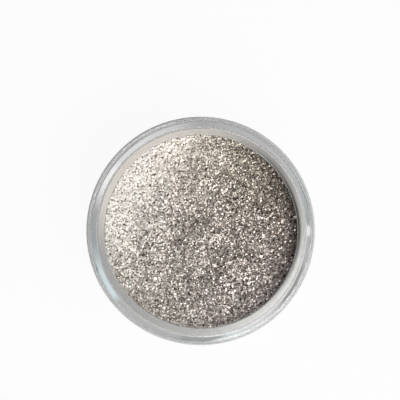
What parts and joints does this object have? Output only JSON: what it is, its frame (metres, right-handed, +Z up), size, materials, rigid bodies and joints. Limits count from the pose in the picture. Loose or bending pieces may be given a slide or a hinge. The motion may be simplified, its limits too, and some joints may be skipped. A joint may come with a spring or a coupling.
{
  "type": "nail glitter pot",
  "caption": "Low round clear pot of loose metallic nail glitter, with a threaded neck, a seal ring on the rim and a clear screw lid that another pot can stand on",
  "frame": {"origin": "centre of the foot ring, on the plane that the pot stands on", "axes": "+Z up along the pot's and the thread's axis; X and Y free, because only the two thread starts break the round shape"},
  "size_m": [0.0392, 0.0392, 0.0207],
  "materials": {
    "clear_body": "polished",
    "glitter": "satin",
    "seal": "matte",
    "clear_lid": "polished"
  },
  "bodies": {
    "pot": {"jar_body": "clear_body", "glitter_fill": "glitter"},
    "seal": {"lid_seal": "seal"},
    "lid": {"lid": "clear_lid"}
  },
  "joints": [
    {"name": "lid_rise", "type": "slide", "parent": "pot", "child": "seal", "axis": [0, 0, 1], "range_m": [0, 0.015]},
    {"name": "lid_turn", "type": "hinge", "parent": "seal", "child": "lid", "pos_m": [0, 0, 0.0182], "axis": [0, 0, 1], "range_deg": [0, 1800]}
  ],
  "couplings": [
    {"joint": "lid_rise", "follows": "lid_turn", "m_per_rad": 0.00047746}
  ]
}
